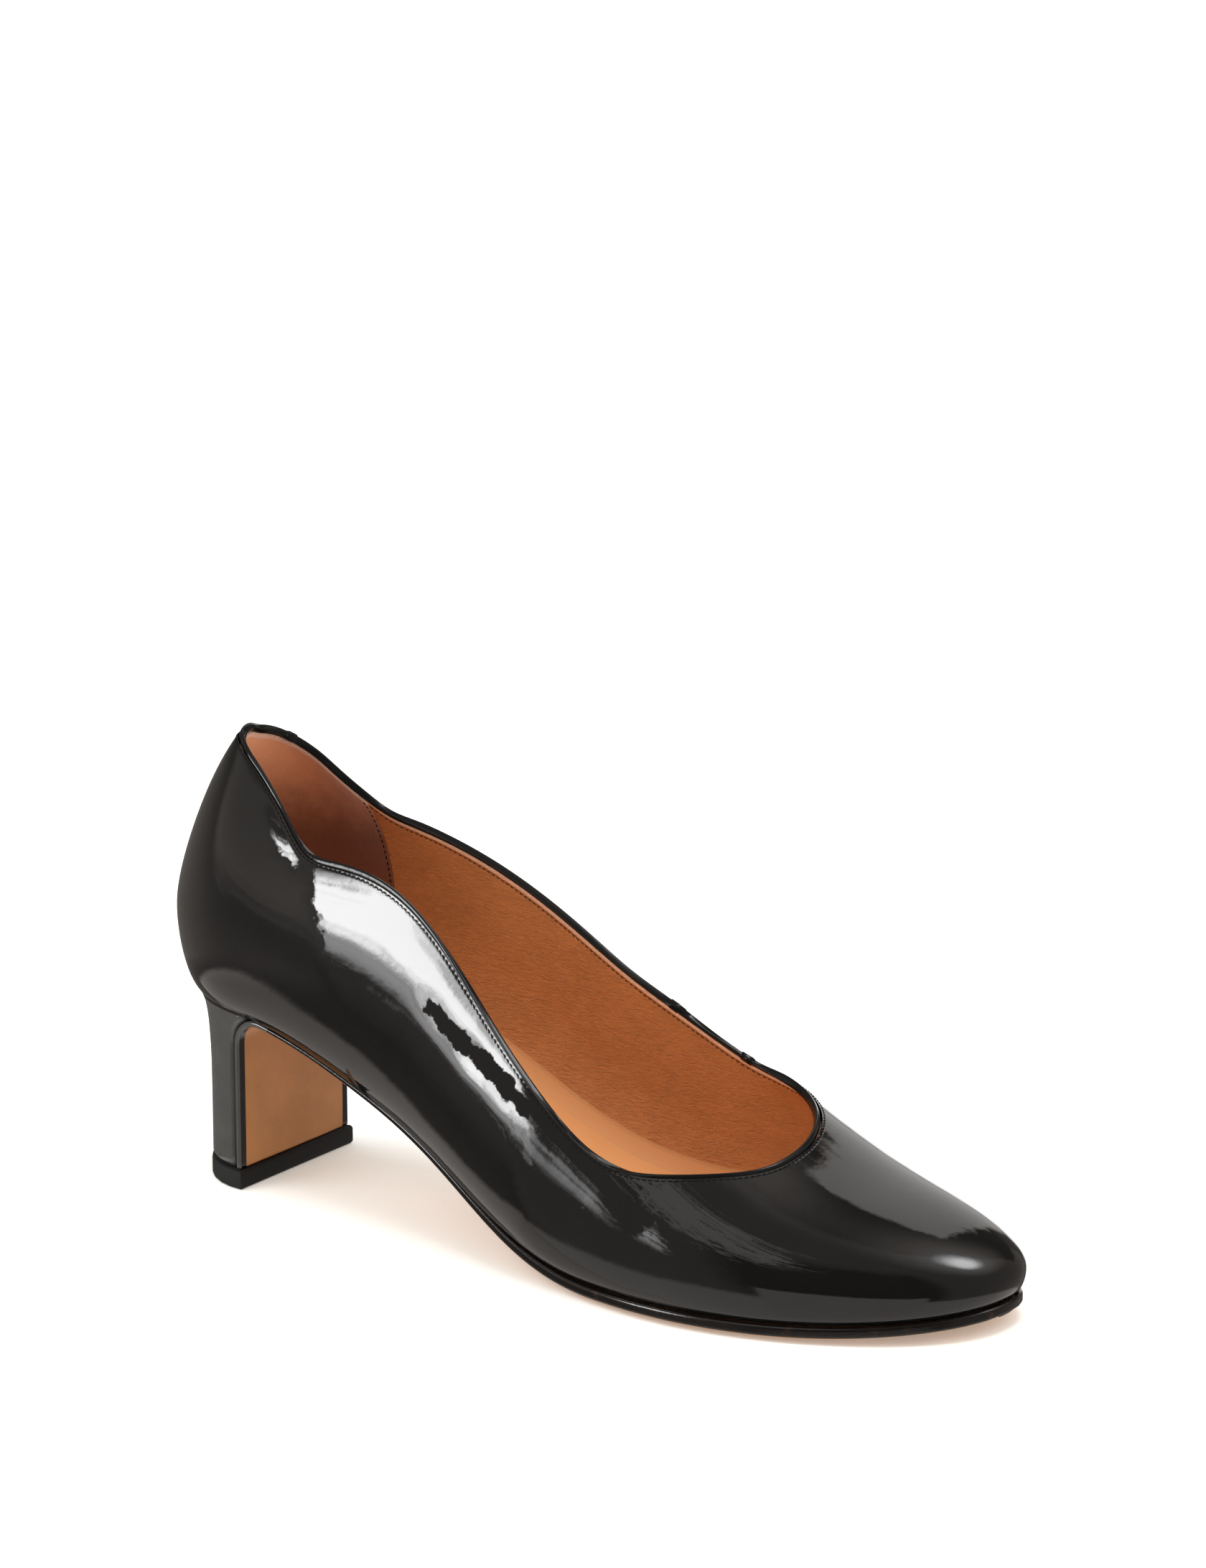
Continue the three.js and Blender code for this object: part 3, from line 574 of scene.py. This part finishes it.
def patent_leather(name="patent_leather", seamed=True):
    """Lacquered leather, with the topline's seam and marks on the upper, or plain on the heel."""
    mix = Recipe(name, **{"IOR": 1.5})
    base = tuple(leathers().patent if seamed else leathers().heel)
    lumps = mix.noise(15.0, detail=1.0)
    ripples = mix.noise(4.0, detail=2.0)
    fine = mix.noise(1.1, detail=2.0)
    tone = mix.noise(9.0)
    surface = mix.relief(lumps, 0.12, under=outer_normal(mix) if seamed else None)
    surface = mix.relief(ripples, 0.02, under=surface)
    surface = mix.relief(fine, 0.0035, under=surface)
    if seamed:
        below = mix.attribute("below_rim")
        along = mix.attribute("along_rim")
        seam = 1.0 - abs(below - OUTER_ROW).step(0.0, 0.55)
        pucker = along._math("COSINE", along * (2 * math.pi))
        surface = mix.relief(seam * (pucker * 0.35 + 0.65), -0.02, under=surface)
        for start, end, width, depth in PLEATS:
            away = mix.segment_distance(start, end)
            surface = mix.relief(away.step(0.0, width), depth, under=surface)
    return mix.finish(
        Base_Color=mix.blend(tone, base, shaded(base, 1.6)),
        Roughness=0.03 + tone * 0.02,
        Normal=surface,
    )


def binding_leather():
    """Thin lacquered leather, folded over the topline."""
    mix = Recipe("binding_leather", **{"IOR": 1.5, "Specular IOR Level": 0.22})
    lumps = mix.noise(2.4, detail=2.0)
    fine = mix.noise(0.35, detail=2.0)
    surface = mix.relief(fine, 0.004, under=mix.relief(lumps, 0.05))
    return mix.finish(
        Base_Color=mix.blend(fine, (0.003, 0.003, 0.003), (0.008, 0.0075, 0.0075)),
        Roughness=0.05 + fine * 0.04,
        Normal=surface,
    )


def lining_leather():
    """Waxed tan leather with fine wrinkles, its cut edge and the sock's edge that runs up it."""
    mix = Recipe("lining_leather", **{"Specular IOR Level": 0.4, "IOR": 1.46})
    base = tuple(leathers().lining)
    grain = mix.place((0.45, 1.0, 1.6), (0.0, 0.35, 0.0))
    wrinkles = mix.noise(1.2, grain, detail=3.0, roughness=0.55, distortion=1.5)
    pores = mix.noise(0.35, grain, detail=3.0)
    mottle = mix.noise(9.0, detail=3.0)
    cut = cut_edge(mix)
    groove = abs(mix.attribute("below_rim") - LINING_ROW).step(0.0, 0.9)
    tone = mix.blend(mottle.step(0.25, 0.75), base, shaded(base, 1.12))
    tone = mix.blend(wrinkles.step(0.45, 0.68) * 0.3, tone, shaded(base, 0.62))
    # Painted shade: the lining is darker along the sunk stitch groove, where shade falls.
    tone = mix.blend((1.0 - groove) * 0.3, tone, shaded(base, 0.55))
    tone = mix.blend(cut * 0.9, tone, (0.86, 0.55, 0.38))
    above = mix.attribute("above_sock")
    reach = sizes().sock_edge / MM
    turned_up = 1.0 - above.step(reach - 0.25, reach + 0.25)
    lip = turned_up * above.step(reach - 1.2, reach)
    tone = mix.blend(turned_up, tone, tuple(leathers().sock))
    tone = mix.blend(lip * 0.35, tone, shaded(leathers().sock, 0.6))
    surface = mix.relief(wrinkles * (1.0 - turned_up), 0.5)
    surface = mix.relief(turned_up, 0.3, under=surface)
    surface = mix.relief(pores, 0.035, under=surface)
    surface = mix.relief(groove, 0.22, under=surface)
    return mix.finish(Base_Color=tone, Roughness=0.44 + wrinkles * 0.18 + cut * 0.25, Normal=surface)


def sock_leather():
    """Smooth tan leather, a little mottled."""
    mix = Recipe("sock_leather", **{"Specular IOR Level": 0.45, "IOR": 1.46})
    base = tuple(leathers().sock)
    mottle = mix.noise(8.0, detail=4.0)
    grain = mix.noise(0.5, detail=3.0)
    folds = mix.noise(2.5, mix.place((1.0, 0.4, 1.0)), detail=3.0)
    tone = mix.blend(mottle, shaded(base, 0.94), shaded(base, 1.06))
    surface = mix.relief(grain, 0.03, under=mix.relief(folds, 0.08))
    return mix.finish(Base_Color=tone, Roughness=0.42 + grain * 0.15, Normal=surface)


def grip_suede():
    """Brown suede, with painted light and shade: paler towards the top, where light falls, and darker
    deep down.
    """
    nap_shine = {"Sheen Weight": 0.2, "Sheen Roughness": 0.5, "Specular IOR Level": 0.2}
    mix = Recipe("grip_suede", **nap_shine)
    base = tuple(leathers().grip)
    nap = mix.noise(0.35, detail=4.0, roughness=0.7)
    brushed = mix.noise(5.0, detail=5.0, roughness=0.6)
    height = mix.dot(mix.place(), (0.0, 0.0, 1.0))
    # Painted light and shade: the colour runs from a shaded dark brown low in the heel to a lit pale
    # brown at the top.
    painted_light_by_height = (height + (brushed - 0.5) * 8.0).step(80.0, 106.0)
    cut = cut_edge(mix)
    tone = mix.blend(painted_light_by_height, shaded(base, 0.55), (0.80, 0.34, 0.165))
    tone = mix.blend(nap * 0.3, tone, shaded(base, 0.55))
    tone = mix.blend(cut * 0.85, tone, (0.72, 0.42, 0.30))
    surface = mix.relief(nap, 0.12, under=mix.relief(brushed, 0.15))
    return mix.finish(Base_Color=tone, Roughness=0.92 - nap * 0.08, Normal=surface)


def sole_leather():
    """Tan sole leather with a faint fibre."""
    mix = Recipe("sole_leather", **{"Specular IOR Level": 0.5})
    base = tuple(leathers().sole)
    fibre = mix.noise(0.8, mix.place((0.5, 1.0, 1.0)), detail=4.0, roughness=0.6)
    mottle = mix.noise(12.0, detail=3.0)
    tone = mix.blend(mottle.step(0.3, 0.7), base, shaded(base, 0.86))
    tone = mix.blend(fibre.step(0.45, 0.8) * 0.3, tone, shaded(base, 0.7))
    return mix.finish(
        Base_Color=tone, Roughness=0.34 + fibre * 0.2, Normal=mix.relief(fibre, 0.03)
    )


def edge_paint():
    """Glossy black paint, rubbed through here and there."""
    mix = Recipe("edge_paint", **{"Specular IOR Level": 0.4})
    base = tuple(leathers().edge)
    rub = mix.noise(4.0, detail=4.0)
    fine = mix.noise(0.4, mix.place((0.4, 0.4, 1.5)), detail=3.0)
    tone = mix.blend(rub.step(0.58, 0.75) * 0.5, base, (0.05, 0.02, 0.01))
    return mix.finish(Base_Color=tone, Roughness=0.12 + rub * 0.1, Normal=mix.relief(fine, 0.03))


def top_piece_rubber():
    """Matt black rubber."""
    mix = Recipe("top_piece_rubber", **{"Specular IOR Level": 0.18})
    base = tuple(leathers().rubber)
    fine = mix.noise(0.3, detail=3.0)
    tone = mix.blend(fine, base, shaded(base, 2.2))
    return mix.finish(Base_Color=tone, Roughness=0.6 + fine * 0.2, Normal=mix.relief(fine, 0.02))


def thread(name, light, dark):
    """Sewing thread in two close shades."""
    mix = Recipe(name, **{"Specular IOR Level": 0.03})
    ply = mix.noise(0.25, detail=2.0)
    tone = mix.blend(ply, dark, light)
    return mix.finish(Base_Color=tone, Roughness=0.5 + ply * 0.2, Normal=mix.relief(ply, 0.04))


def wall_skins():
    """The CAD upper's outside and inside as two open sheets, their rims left out."""
    wall = cad_copy("upper", "upper_outside")
    edit_without_picks(wall, "EDGE")
    bpy.ops.mesh.edges_select_sharp(sharpness=math.radians(WALL_RIM))
    bpy.ops.mesh.mark_seam()
    done()
    pick_all_but_sheet(wall, min(wall.data.polygons, key=lambda p: p.center.y))
    rest = split_off(wall, "upper_inside")
    pick_all_but_sheet(rest, min(rest.data.polygons, key=lambda p: (p.center - INSIDE_WALL).length))
    bpy.ops.mesh.delete(type="FACE")
    done()
    return wall, rest


def pressed(piece, troughs):
    """Soft troughs pushed into a piece from outside."""
    for vertex in piece.data.vertices:
        push = 0.0
        for start, end, width, depth in troughs:
            a, b = Vector(start) * MM, Vector(end) * MM
            along = b - a
            share = max(0.0, min(1.0, (vertex.co - a).dot(along) / along.length_squared))
            away = (vertex.co - a - along * share).length / (width * MM)
            if away < 1.0:
                push += depth * MM * (1.0 - away * away) ** 2
        if push:
            vertex.co -= vertex.normal * push


def rim_path(sheet):
    """Points and normals round a sheet's upper rim, in order."""
    uses = {}
    for polygon in sheet.data.polygons:
        for key in polygon.edge_keys:
            uses[key] = uses.get(key, 0) + 1
    beside = {}
    for (a, b), count in uses.items():
        if count == 1:
            beside.setdefault(a, []).append(b)
            beside.setdefault(b, []).append(a)
    loops, left = [], set(beside)
    while left:
        loop = [min(left)]
        left.discard(loop[0])
        while step := [i for i in beside[loop[-1]] if i in left]:
            loop.append(step[0])
            left.discard(step[0])
        loops.append(loop)
    at = sheet.data.vertices
    loop = max(loops, key=lambda one: sum(at[i].co.z for i in one) / len(one))
    return [(at[i].co.copy(), at[i].normal.copy()) for i in loop]


def even_steps(path, pitch, closed=True):
    """Places about one pitch apart along a path: place, direction, normal and length so far."""
    points = path + path[:1] if closed else path
    lengths = [(b[0] - a[0]).length for a, b in zip(points, points[1:])]
    count = max(1, round(sum(lengths) / pitch))
    step = sum(lengths) / count
    places, walked, i = [], 0.0, 0
    for k in range(count):
        want = (k + 0.5) * step
        while i < len(lengths) - 1 and walked + lengths[i] < want:
            walked += lengths[i]
            i += 1
        share = (want - walked) / lengths[i]
        (p, n), (q, m) = points[i], points[i + 1]
        places.append((p.lerp(q, share), (q - p).normalized(), n.lerp(m, share).normalized(), want))
    return places


def tree_of(piece):
    """A piece's surface, to find places on."""
    mesh = piece.data
    return BVHTree.FromPolygons([v.co for v in mesh.vertices], [p.vertices for p in mesh.polygons])


def store(piece, name, values):
    """One number for each vertex, for the materials to read."""
    piece.data.attributes.new(name, "FLOAT", "POINT").data.foreach_set("value", values)


def rim_measures(piece, path, pitch):
    """Stores how far under the topline each point lies, in mm, and how many stitches round it."""
    dense = even_steps(path, 0.4 * MM)
    whole = dense[-1][3] + dense[0][3]
    pitch_there = whole / round(whole / pitch)
    near = KDTree(len(dense))
    for i, place in enumerate(dense):
        near.insert(place[0], i)
    near.balance()
    below, along = [], []
    for vertex in piece.data.vertices:
        _, i, away = near.find(vertex.co)
        below.append(away / MM)
        along.append(dense[i][3] / pitch_there)
    store(piece, "below_rim", below)
    store(piece, "along_rim", along)


def stitched(name, sheet, path, pitch, below, shape, sink, closed=True):
    """A row of stitches along a path, lying on a sheet a little under it."""
    bpy.ops.object.select_all(action="DESELECT")
    bpy.ops.mesh.primitive_uv_sphere_add(segments=6, ring_count=5, radius=0.5)
    first = bpy.context.object
    bpy.ops.transform.rotate(value=math.pi / 2, orient_axis="Y", center_override=(0, 0, 0))
    bpy.ops.transform.resize(value=shape)
    bpy.ops.object.transform_apply(location=True, rotation=True, scale=True)
    tree = tree_of(sheet)
    copies = []
    for place, way, normal, _ in even_steps(path, pitch, closed):
        down = way.cross(normal)
        down = -down if down.z > 0 else down
        spot, out, _, _ = tree.find_nearest(place + down * below)
        out = -out if out.dot(normal) < 0 else out
        side = out.cross(way).normalized()
        turn = Matrix((side.cross(out), side, out)).transposed().to_4x4()
        copy = bpy.data.objects.new(name, first.data.copy())
        copy.data.transform(Matrix.Translation(spot - out * sink) @ turn)
        bpy.context.scene.collection.objects.link(copy)
        copies.append(copy)
    bpy.data.objects.remove(first)
    bpy.ops.object.select_all(action="DESELECT")
    for copy in copies:
        copy.select_set(True)
    bpy.context.view_layer.objects.active = copies[0]
    bpy.ops.object.join()
    row = bpy.context.object
    row.name = name
    smoothed(row, 80)
    return row


class SHOE_OT_upper(bpy.types.Operator):
    """Patent skin and lining of the upper, and the suede heel grip"""

    bl_idname = "shoe.upper"
    bl_label = "Upper and lining"

    def execute(self, context):
        size = sizes()
        outside, inside = wall_skins()
        subdivided(outside, size.detail)
        path = rim_path(outside)
        rim_measures(outside, path, size.stitch)
        pressed(outside, TROUGHS)
        row = stitched(
            "topline_stitches", outside, path, size.stitch, OUTER_ROW * MM, THREAD, 0.0
        )
        black = thread("black_thread", (0.012, 0.011, 0.011), (0.003, 0.003, 0.003))
        dressed(row, black, "binding_leather")
        modified(outside, "SOLIDIFY", thickness=size.skin, offset=-1.0, use_even_offset=True)
        smoothed(outside, 60)
        dressed(outside, patent_leather(), "patent_leather", "upper")

        subdivided(inside, size.detail)
        path = rim_path(inside)
        rim_measures(inside, path, size.stitch)
        board = tree_of(frame["nodes"]["insole"])
        above = [board.find_nearest(vertex.co)[3] / MM for vertex in inside.data.vertices]
        store(inside, "above_sock", above)
        pick_faces(inside, lambda at, normal: at.x < size.grip_front + 4 * MM)
        bpy.ops.mesh.duplicate()
        grip = split_off(inside, "heel_grip")
        row = stitched(
            "lining_stitches", inside, path, size.stitch, LINING_ROW * MM, LINING_THREAD, LINING_SINK
        )
        brown = thread("brown_thread", (0.12, 0.04, 0.016), (0.05, 0.016, 0.007))
        dressed(row, brown, "tan_leather")
        modified(inside, "SOLIDIFY", thickness=size.lining, offset=-1.0, use_even_offset=True)
        smoothed(inside, 60)
        dressed(inside, lining_leather(), "tan_leather", "upper")

        plane, facing_front = Vector((size.grip_front, 0.0, 0.08)), Vector((1.0, 0.0, 0.06))
        edit(grip)
        bpy.ops.mesh.select_all(action="SELECT")
        bpy.ops.mesh.bisect(plane_co=plane, plane_no=facing_front, clear_outer=True)
        done()
        front = [v for v in grip.data.vertices if (v.co - plane).dot(facing_front) > -0.01 * MM]
        for side, way in (("outer", -1), ("inner", 1)):
            seam = sorted((v for v in front if v.co.y * way > 0), key=lambda v: v.co.z)
            seam = [(v.co - Vector((0.7 * MM, 0, 0)), v.normal.copy()) for v in seam]
            row = stitched(
                "grip_stitches_" + side, grip, seam, 1.6 * MM, 0.0, LINING_THREAD, -size.grip, False
            )
            dark = thread("grip_thread_" + side, (0.03, 0.010, 0.005), (0.012, 0.004, 0.003))
            dressed(row, dark, "tan_leather")
        modified(grip, "SOLIDIFY", thickness=size.grip, offset=1.0, use_even_offset=True)
        smoothed(grip, 60)
        dressed(grip, grip_suede(), "tan_leather")
        return {"FINISHED"}


class SHOE_OT_binding(bpy.types.Operator):
    """Bead round the topline with its joints"""

    bl_idname = "shoe.binding"
    bl_label = "Topline binding"

    def execute(self, context):
        bead = cad_copy("topline_binding", "binding")
        lining = tree_of(bpy.data.objects["upper_inside"])
        skin = tree_of(bpy.data.objects["upper_outside"])
        for vertex in bead.data.vertices:
            spot, _, _, away = lining.find_nearest(vertex.co)
            if skin.find_nearest(vertex.co)[3] < BEAD_REACH:
                vertex.co.z -= sizes().lap
            elif away < BEAD_REACH and abs(vertex.co.z - spot.z) < 1.0 * MM:
                vertex.co.z += sizes().fold
        subdivided(bead, 2)
        for joint in BINDING_JOINTS:
            middle = Vector(joint) * MM
            pick_faces(bead, lambda at, normal: (at - middle).length < JOINT_REACH)
            bpy.ops.mesh.extrude_region_shrink_fatten(
                TRANSFORM_OT_shrink_fatten={"value": JOINT_THICKNESS}
            )
            done()
        smoothed(bead, 70)
        dressed(bead, binding_leather(), "binding_leather", "topline_binding")
        return {"FINISHED"}


class SHOE_OT_sock(bpy.types.Operator):
    """Sock over the insole board"""

    bl_idname = "shoe.sock"
    bl_label = "Sock"

    def execute(self, context):
        sock = cad_copy("insole", "sock")
        creased(sock, 0.8)
        dressed(sock, sock_leather(), "tan_leather", "insole")
        return {"FINISHED"}


class SHOE_OT_sole(bpy.types.Operator):
    """Leather sole with its painted edge, heel block and top piece"""

    bl_idname = "shoe.sole"
    bl_label = "Sole and heel"

    def execute(self, context):
        sole = cad_copy("outsole", "sole")

        def on_flap_side(at, normal):
            return at.x < FLAP_START and abs(normal.y) > STEEP

        def on_face(at, normal):
            on_edge = abs(normal.y) > STEEP if at.x < FLAP_START else abs(normal.z) < STEEP
            return not on_edge and normal.dot(Vector((1.0, 0.0, -1.0))) > 0.0

        pick_faces(sole, on_face)
        bpy.ops.mesh.inset(thickness=sizes().rim, depth=0.0)
        done()
        inner = [face.select for face in sole.data.polygons]
        cover = patent_leather("heel_patent", seamed=False)
        dressed(sole, [sole_leather(), edge_paint(), cover], "sole_leather", "outsole")
        for face, tan in zip(sole.data.polygons, inner):
            covered = on_flap_side(face.center, face.normal)
            face.material_index = 0 if tan else 2 if covered else 1
        creased(sole, 0.75)

        heel = cad_copy("heel", "heel_block")
        creased(heel, 0.8)
        dressed(heel, cover, "patent_leather", "heel")

        top_piece = cad_copy("top_piece", "heel_top_piece")
        bevel = {"width": 0.35 * MM, "segments": 3, "limit_method": "ANGLE"}
        modified(top_piece, "BEVEL", **bevel, angle_limit=math.radians(SHARP))
        smoothed(top_piece)
        dressed(top_piece, top_piece_rubber(), "top_piece_rubber", "top_piece")
        return {"FINISHED"}


def sky_direction(azimuth, elevation):
    """Direction to a place of the studio: azimuth from -Y towards +X, elevation over the floor."""
    a, e = math.radians(azimuth), math.radians(elevation)
    return Vector((math.sin(a) * math.cos(e), -math.cos(a) * math.cos(e), math.sin(e)))


def facing(direction):
    """Turns -Z to look along a direction."""
    return direction.to_track_quat("-Z", "Y")


def softbox(name, azimuth, elevation, size, distance, radiance):
    """A square light that faces the shoe. The sky holds its reflection."""
    data = bpy.data.lights.new(name, "AREA")
    data.shape = "SQUARE"
    data.size = size
    data.energy = radiance * math.pi * size * size
    lamp = bpy.data.objects.new(name, data)
    away = sky_direction(azimuth, elevation)
    lamp.location = Vector((0.0, 0.0, 0.05)) + away * distance
    lamp.rotation_euler = facing(-away).to_euler()
    lamp.visible_glossy = False
    bpy.context.scene.collection.objects.link(lamp)
    return lamp


def studio_sky():
    """White all round for the eye and for matt surfaces, and the studio's panels for gloss."""
    sky = Recipe.of_sky("studio")
    toward = sky.node("ShaderNodeTexCoord", output="Generated")
    x, y, z = (
        sky.node("ShaderNodeSeparateXYZ", {}, {"Vector": toward}, output=axis) for axis in "XYZ"
    )
    azimuth = x._math("ARCTAN2", x, -y) * math.degrees(1.0)
    elevation = z._math("ARCSINE", z) * math.degrees(1.0)
    ragged = sky.noise(0.05, toward, detail=3.0) - 0.5

    def window(value, low, high, soft):
        return value.step(low - soft, low + soft) * (1.0 - value.step(high - soft, high + soft))

    light = elevation * 0.0 + DIM
    for low_az, high_az, low_el, high_el, lean, soft, ragged_by, radiance in PANELS:
        side = azimuth + elevation * lean + ragged * ragged_by
        rise = elevation + ragged * ragged_by
        patch = window(side, low_az, high_az, soft) * window(rise, low_el, high_el, soft)
        light = light * (1.0 - patch) + patch * radiance
    for at_az, at_el, inner, outer, radiance in SPOTS:
        facing_it = sky.dot(toward, sky_direction(at_az, at_el))
        away = facing_it._math("ARCCOSINE", facing_it) * math.degrees(1.0)
        light = light + (1.0 - away.step(inner, outer)) * radiance
    gloss = sky.node("ShaderNodeLightPath", output="Is Glossy Ray")
    strength = gloss * light + (1.0 - gloss) * WHITE
    shade = gloss * (1.0 - light.step(0.5, 1.5))
    sky.put(sky.shader.inputs["Color"], sky.blend(shade, (1.0, 1.0, 1.0), (1.08, 0.98, 0.89)))
    sky.put(sky.shader.inputs["Strength"], strength)
    return sky.material


class SHOE_OT_studio(bpy.types.Operator):
    """Pale floor, soft lights and the camera"""

    bl_idname = "shoe.studio"
    bl_label = "Studio"

    def execute(self, context):
        scene = context.scene
        scene.view_settings.view_transform = "Standard"
        bpy.ops.object.select_all(action="DESELECT")
        bpy.ops.mesh.primitive_plane_add(size=16.0, location=(0.0, 3.0, 0.0))
        floor = context.object
        floor.name = "floor"
        paper = Recipe("floor_paper", **{"Roughness": 0.9, "Specular IOR Level": 0.1})
        paper.shader.inputs["Emission Color"].default_value = (1.0, 0.98, 0.86, 1.0)
        paper.shader.inputs["Emission Strength"].default_value = 0.2
        tone = paper.noise(400.0, detail=1.0)
        floor.data.materials.append(
            paper.finish(Base_Color=paper.blend(tone, (0.96, 0.962, 0.937), (0.97, 0.972, 0.947)))
        )
        floor.visible_glossy = False

        scene.world = studio_sky()
        for lamp in LAMPS:
            softbox(*lamp)

        data = bpy.data.cameras.new("photo_camera")
        data.lens = CAMERA_LENS
        data.sensor_width = 36.0
        data.sensor_fit = "HORIZONTAL"
        data.clip_end = 50.0
        camera = bpy.data.objects.new("photo_camera", data)
        scene.collection.objects.link(camera)
        back = sky_direction(CAMERA_AZIMUTH, CAMERA_ELEVATION)
        around = math.radians(CAMERA_AZIMUTH)
        right = Vector((math.cos(around), math.sin(around), 0.0))
        up = back.cross(right)
        turn = Matrix((right, up, back)).transposed()
        camera.matrix_world = Matrix.Translation(CAMERA_PLACE) @ turn.to_4x4()
        scene.camera = camera
        return {"FINISHED"}


class SHOE_PT_pieces(bpy.types.Panel):
    bl_idname = "SHOE_PT_pieces"
    bl_label = "Court shoe"
    bl_space_type = "VIEW_3D"
    bl_region_type = "UI"
    bl_category = "Shoe"

    def draw(self, context):
        column = self.layout.column(align=True)
        for operator in OPERATORS:
            column.operator(operator.bl_idname)
        for group in (context.scene.shoe_sizes, context.scene.shoe_leathers):
            box = self.layout.box()
            for name in group.__annotations__:
                box.prop(group, name)


OPERATORS = (SHOE_OT_upper, SHOE_OT_binding, SHOE_OT_sock, SHOE_OT_sole, SHOE_OT_studio)
CLASSES = (ShoeLeathers, ShoeSizes, *OPERATORS, SHOE_PT_pieces)


def register():
    for one in CLASSES:
        bpy.utils.register_class(one)
    bpy.types.Scene.shoe_leathers = PointerProperty(type=ShoeLeathers)
    bpy.types.Scene.shoe_sizes = PointerProperty(type=ShoeSizes)


def unregister():
    del bpy.types.Scene.shoe_sizes
    del bpy.types.Scene.shoe_leathers
    for one in reversed(CLASSES):
        bpy.utils.unregister_class(one)


def main():
    register()
    bpy.ops.shoe.upper()
    bpy.ops.shoe.binding()
    bpy.ops.shoe.sock()
    bpy.ops.shoe.sole()
    bpy.ops.shoe.studio()


if __name__ == "__main__":
    main()
